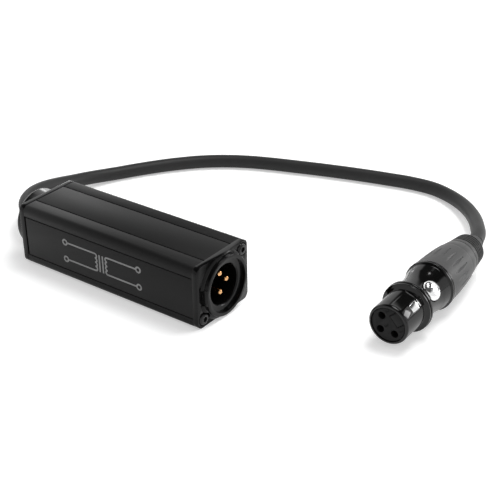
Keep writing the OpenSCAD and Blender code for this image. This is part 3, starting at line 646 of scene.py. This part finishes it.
def make_plug_key(finishes):
    """The key that reaches in from the rim over the plug's face."""
    key = block("plug_key", (0.1, KEY_FLOOR, -KEY_HALF), (KEY_DEPTH, NOSE_R, KEY_HALF))
    reach = BORE_R + FACE_GROOVE_W + 0.1
    disc = turned("key_disc", [(-1, 0), (-1, reach), (3, reach), (3, 0)], 0, closed=False)
    combine(key, disc, "INTERSECT")
    ease_edges(key, 0.08)
    smooth(key)
    put(key, PLUG_MATRIX)
    settle(key, "root", "insulator_grey", finishes)


def make_push_button(finishes):
    """The chrome push button: domed, with a ring around a slightly hollow middle."""
    edge = arc_points(BUTTON_TOP - 2, BUTTON_R - 1.8, 1.8, 90, 12, 10)
    outline = [(BUTTON_FOOT, 0), (BUTTON_FOOT, BUTTON_R), *edge,
               (BUTTON_TOP - 0.02, BUTTON_RING_OUT + 0.1),
               (BUTTON_TOP - BUTTON_RING_D, BUTTON_RING_OUT),
               (BUTTON_TOP - BUTTON_RING_D, BUTTON_RING_IN),
               (BUTTON_TOP - 0.05, BUTTON_RING_IN - 0.15), (BUTTON_TOP, 0)]
    button = turned("push_button_chrome", outline, ease=0.08, closed=False)
    put(button, PLUG_MATRIX @ shifted(BUTTON_S) @ turned_by(90, "Z"))
    smooth(button)
    settle(button, "latch", "bright_chrome", finishes, ["latch_button"])


def boot_radius(s):
    """Radius of the boot's smooth outside at a distance from the plug's face."""
    middle = (BOOT_FRONT + BOOT_REAR) / 2
    if s < middle:
        share = (s - BOOT_FRONT) / (middle - BOOT_FRONT)
        return BOOT_FRONT_R + (BOOT_MID_R - BOOT_FRONT_R) * share
    share = (s - middle) / (BOOT_REAR - middle)
    return BOOT_MID_R + (BOOT_END_R - BOOT_MID_R) * share


def make_boot(finishes):
    """The rubbery boot, with round-edged grooves about its end."""
    first = BOOT_REAR - (GROOVES - 1) * GROOVE_PITCH - GROOVE_W - 0.45
    outline = [(BOOT_FRONT, BOOT_BORE_R), (BOOT_FRONT, boot_radius(BOOT_FRONT)),
               (JOINT_S, boot_radius(JOINT_S)),
               (JOINT_S + 0.02, boot_radius(JOINT_S) - JOINT_D),
               (JOINT_S + JOINT_W, boot_radius(JOINT_S) - JOINT_D),
               (JOINT_S + JOINT_W + 0.02, boot_radius(JOINT_S + JOINT_W)),
               ((BOOT_FRONT + BOOT_REAR) / 2, BOOT_MID_R)]
    for i in range(GROOVES):
        start = first + i * GROOVE_PITCH
        end = start + GROOVE_W
        floor_r = boot_radius(start) - GROOVE_D
        outline += [(start, boot_radius(start)), (start + 0.05, floor_r), (end - 0.05, floor_r),
                    (end, boot_radius(end))]
    outline += [(BOOT_REAR, BOOT_END_R), (BOOT_REAR, BOOT_BORE_R)]
    boot = turned("grooved_boot", outline, ease=0.15)
    put(boot, PLUG_MATRIX)
    smooth(boot)
    settle(boot, "root", "grip_grey", finishes, ["plug_boot"])


def make_numerals(finishes):
    """Small raised numerals beside the holes, upright when the latch is at the top."""
    upright = Matrix(((0, 0, -1, 0), (0, 1, 0, 0), (1, 0, 0, 0), (0, 0, 0, 1)))
    for text, y, z in NUMERALS:
        bpy.ops.object.select_all(action="DESELECT")
        bpy.ops.object.text_add()
        numeral = bpy.context.object
        numeral.name = "numeral_" + text
        numeral.data.body = text
        numeral.data.align_x = "CENTER"
        numeral.data.align_y = "CENTER"
        numeral.data.size = NUMERAL_SIZE * MM
        numeral.data.offset = NUMERAL_BOLD * MM
        numeral.data.extrude = 0.05 * MM
        bpy.ops.object.convert(target="MESH")
        numeral = bpy.context.object
        put(numeral, PLUG_MATRIX @ shifted(FACE_RECESS, y, z) @ upright)
        settle(numeral, "root", "numeral_black", finishes)


def make_plug(finishes):
    make_plug_shell(finishes)
    make_plug_key(finishes)
    make_push_button(finishes)
    make_boot(finishes)
    make_numerals(finishes)


# The case

def add_stroke(data, points):
    """One printed line through points of (along the case, height over its middle)."""
    spline = data.splines.new("POLY")
    spline.points.add(len(points) - 1)
    for point, (x, z) in zip(spline.points, points):
        point.co = ((PRINT_MIDDLE_X + x) * MM, 0, z * MM, 1)


def draw_winding(data, side):
    """Half of the diagram: a core line, a winding of four humps, two leads and their terminals."""
    add_stroke(data, [(side * CORE_X, -PRINT_LEAD_Z), (side * CORE_X, PRINT_LEAD_Z)])
    for i in range(4):
        z = (1.5 - i) * 2 * HUMP_R
        hump = arc_points(COIL_X, z, HUMP_R, 90, 270, 10)
        add_stroke(data, [(side * x, z) for x, z in hump])
    for z in (-PRINT_LEAD_Z, PRINT_LEAD_Z):
        add_stroke(data, [(side * COIL_X, z), (side * (PRINT_REACH - 2 * TERMINAL_R), z)])
        ring = arc_points(PRINT_REACH - TERMINAL_R, z, TERMINAL_R, 0, 360, 24)
        add_stroke(data, [(side * x, z) for x, z in ring])


def make_case_print(finishes):
    """A plain printed diagram of a one-to-one transformer on the case's side."""
    low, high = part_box("case_tube")
    data = bpy.data.curves.new("case_print", "CURVE")
    data.dimensions = "3D"
    data.bevel_depth = PRINT_STROKE / 2 * MM
    data.bevel_resolution = 3
    data.use_fill_caps = True
    for side in (-1, 1):
        draw_winding(data, side)
    curve = bpy.data.objects.new("case_print", data)
    bpy.context.scene.collection.objects.link(curve)
    select_only(curve)
    bpy.ops.object.convert(target="MESH")
    piece = bpy.context.object
    flat = Matrix.Diagonal((1, 0.06, 1, 1))
    put(piece, Matrix.Translation((0, low[1], (low[2] + high[2]) / 2)) @ flat)
    smooth(piece)
    settle(piece, "root", "print_grey", finishes)


def make_eased_nodes(finishes):
    """Copies of CAD nodes with eased edges, which catch the light as real edges do."""
    for node, (width, body) in EASED_NODES.items():
        settle(eased_copy(node, width), body, NODE_SLOTS[node], finishes, [node])


# The studio

def add_softbox(name, azimuth, elevation, distance, width, height, brightness):
    """A rectangular soft light, aimed at the object from a direction."""
    data = bpy.data.lights.new(name, "AREA")
    data.shape = "RECTANGLE"
    data.size, data.size_y = width * MM, height * MM
    data.energy = brightness * math.pi * data.size * data.size_y
    light = bpy.data.objects.new(name, data)
    bpy.context.scene.collection.objects.link(light)
    out = turned_by(azimuth, "Z") @ turned_by(-elevation, "Y") @ Vector((1, 0, 0))
    place = Vector(LIT_POINT) * MM + out * distance * MM
    aim = out.to_track_quat("Z", "Y").to_matrix().to_4x4()
    light.matrix_world = Matrix.Translation(place) @ aim


def seen_level(tree):
    """1 for camera, glossy and transmission rays, and 0 for the others."""
    seen = tree.nodes.new("ShaderNodeLightPath")
    level = seen.outputs["Is Camera Ray"]
    for name in ("Is Glossy Ray", "Is Transmission Ray"):
        most = tree.nodes.new("ShaderNodeMath")
        most.operation = "MAXIMUM"
        tree.links.new(level, most.inputs[0])
        tree.links.new(seen.outputs[name], most.inputs[1])
        level = most.outputs[0]
    return level


def floor_finish():
    """Pale floor, lifted to white where it is looked at, with the object's shadow kept."""
    f = Finish("floor_white")
    colour = f.mixed(f.noise(f.place(), 300), grey(0.78), grey(0.8))
    lift = f.mixed(Signal(f, seen_level(f.tree)), grey(0), grey(FLOOR_LIFT))
    return f.finished(Base_Color=colour, Roughness=0.9, Specular_IOR_Level=0.0,
                      Emission_Color=lift, Emission_Strength=1.0)


def add_floor():
    bpy.ops.object.select_all(action="DESELECT")
    bpy.ops.mesh.primitive_plane_add(size=12, location=(0, 0, 0))
    floor = bpy.context.object
    floor.name = "studio_floor"
    floor.data.materials.append(floor_finish())


def set_world():
    """White backdrop all round, under a dim ceiling that dark gloss shows, and an even light."""
    world = bpy.data.worlds.new("studio")
    world.use_nodes = True
    bpy.context.scene.world = world
    tree = world.node_tree
    back = tree.nodes["Background"]
    back.inputs["Color"].default_value = grey(1)
    direction = tree.nodes.new("ShaderNodeTexCoord")
    parts = tree.nodes.new("ShaderNodeSeparateXYZ")
    tree.links.new(direction.outputs["Generated"], parts.inputs[0])
    height = tree.nodes.new("ShaderNodeMapRange")
    for name, value in {"From Min": BACKDROP_TOP, "From Max": CEILING_START,
                        "To Min": 1, "To Max": CEILING_LEVEL}.items():
        height.inputs[name].default_value = value
    tree.links.new(parts.outputs["Z"], height.inputs["Value"])
    level = tree.nodes.new("ShaderNodeMix")
    level.data_type = "FLOAT"
    level.inputs["A"].default_value = WORLD_LIGHT
    tree.links.new(seen_level(tree), level.inputs["Factor"])
    tree.links.new(height.outputs["Result"], level.inputs["B"])
    tree.links.new(level.outputs["Result"], back.inputs["Strength"])


def make_studio():
    add_floor()
    set_world()
    for name, facts in SOFTBOXES.items():
        add_softbox(name, *facts)


make_camera()
cord_piece = make_cord()
finishes = make_finishes()
for node_name, node_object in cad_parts.items():
    dress(node_object, NODE_SLOTS[node_name], finishes)
dress(cord_piece, "cord_rubber", finishes)
make_eased_nodes(finishes)
make_case_print(finishes)
make_plug(finishes)
make_studio()

bpy.context.scene.view_settings.view_transform = "Standard"
bpy.context.view_layer.update()
